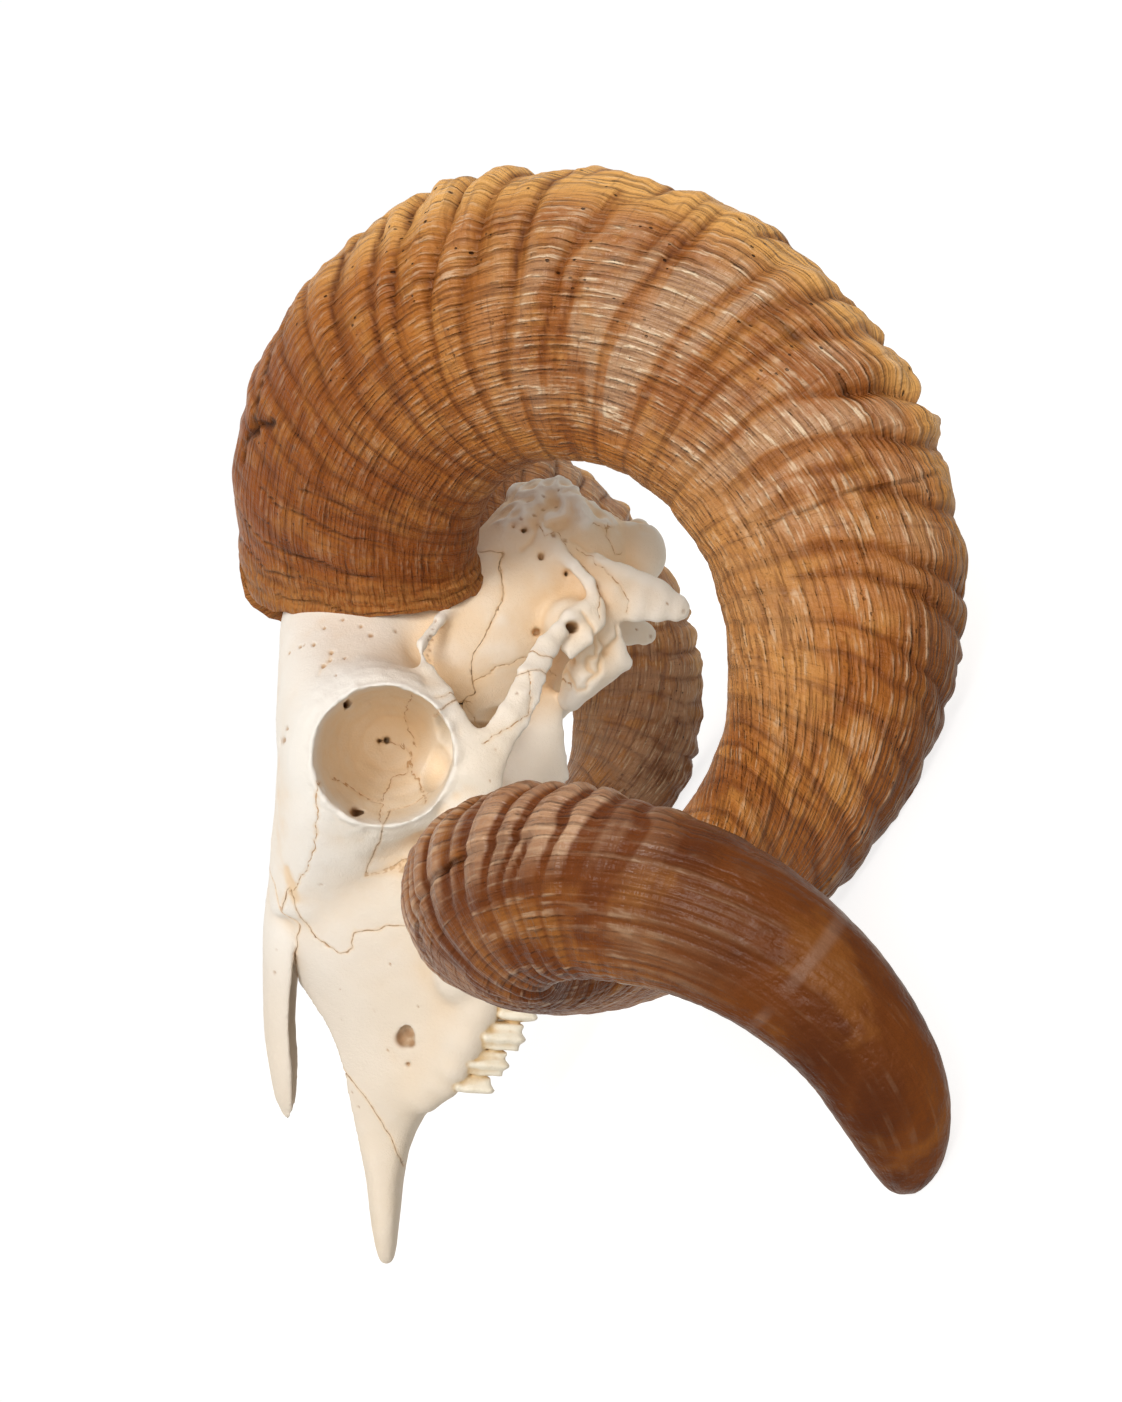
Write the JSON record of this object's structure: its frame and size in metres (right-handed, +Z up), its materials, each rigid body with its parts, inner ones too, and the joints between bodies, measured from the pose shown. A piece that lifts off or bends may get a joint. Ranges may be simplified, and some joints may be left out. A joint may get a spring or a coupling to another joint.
{
  "type": "ram skull",
  "caption": "Life-size skull of an adult horned ram, without its lower jaw, lying nose-down on its two coiled horns.",
  "frame": {"origin": "centre of the footprint box, on the table top that the horns rest on", "axes": "+X to the animal's left, -Y where the muzzle points, +Z up"},
  "size_m": [0.6068, 0.3134, 0.2252],
  "materials": {
    "bone": "satin",
    "horn": "satin"
  },
  "bodies": {
    "root": {"horn_left": "horn", "horn_right": "horn", "braincase": "bone", "frontal_left": "bone", "frontal_right": "bone", "zygomatic_left": "bone", "zygomatic_right": "bone", "maxilla_left": "bone", "maxilla_right": "bone", "premaxilla_left": "bone", "premaxilla_right": "bone", "nasal_left": "bone", "nasal_right": "bone"}
  },
  "joints": []
}
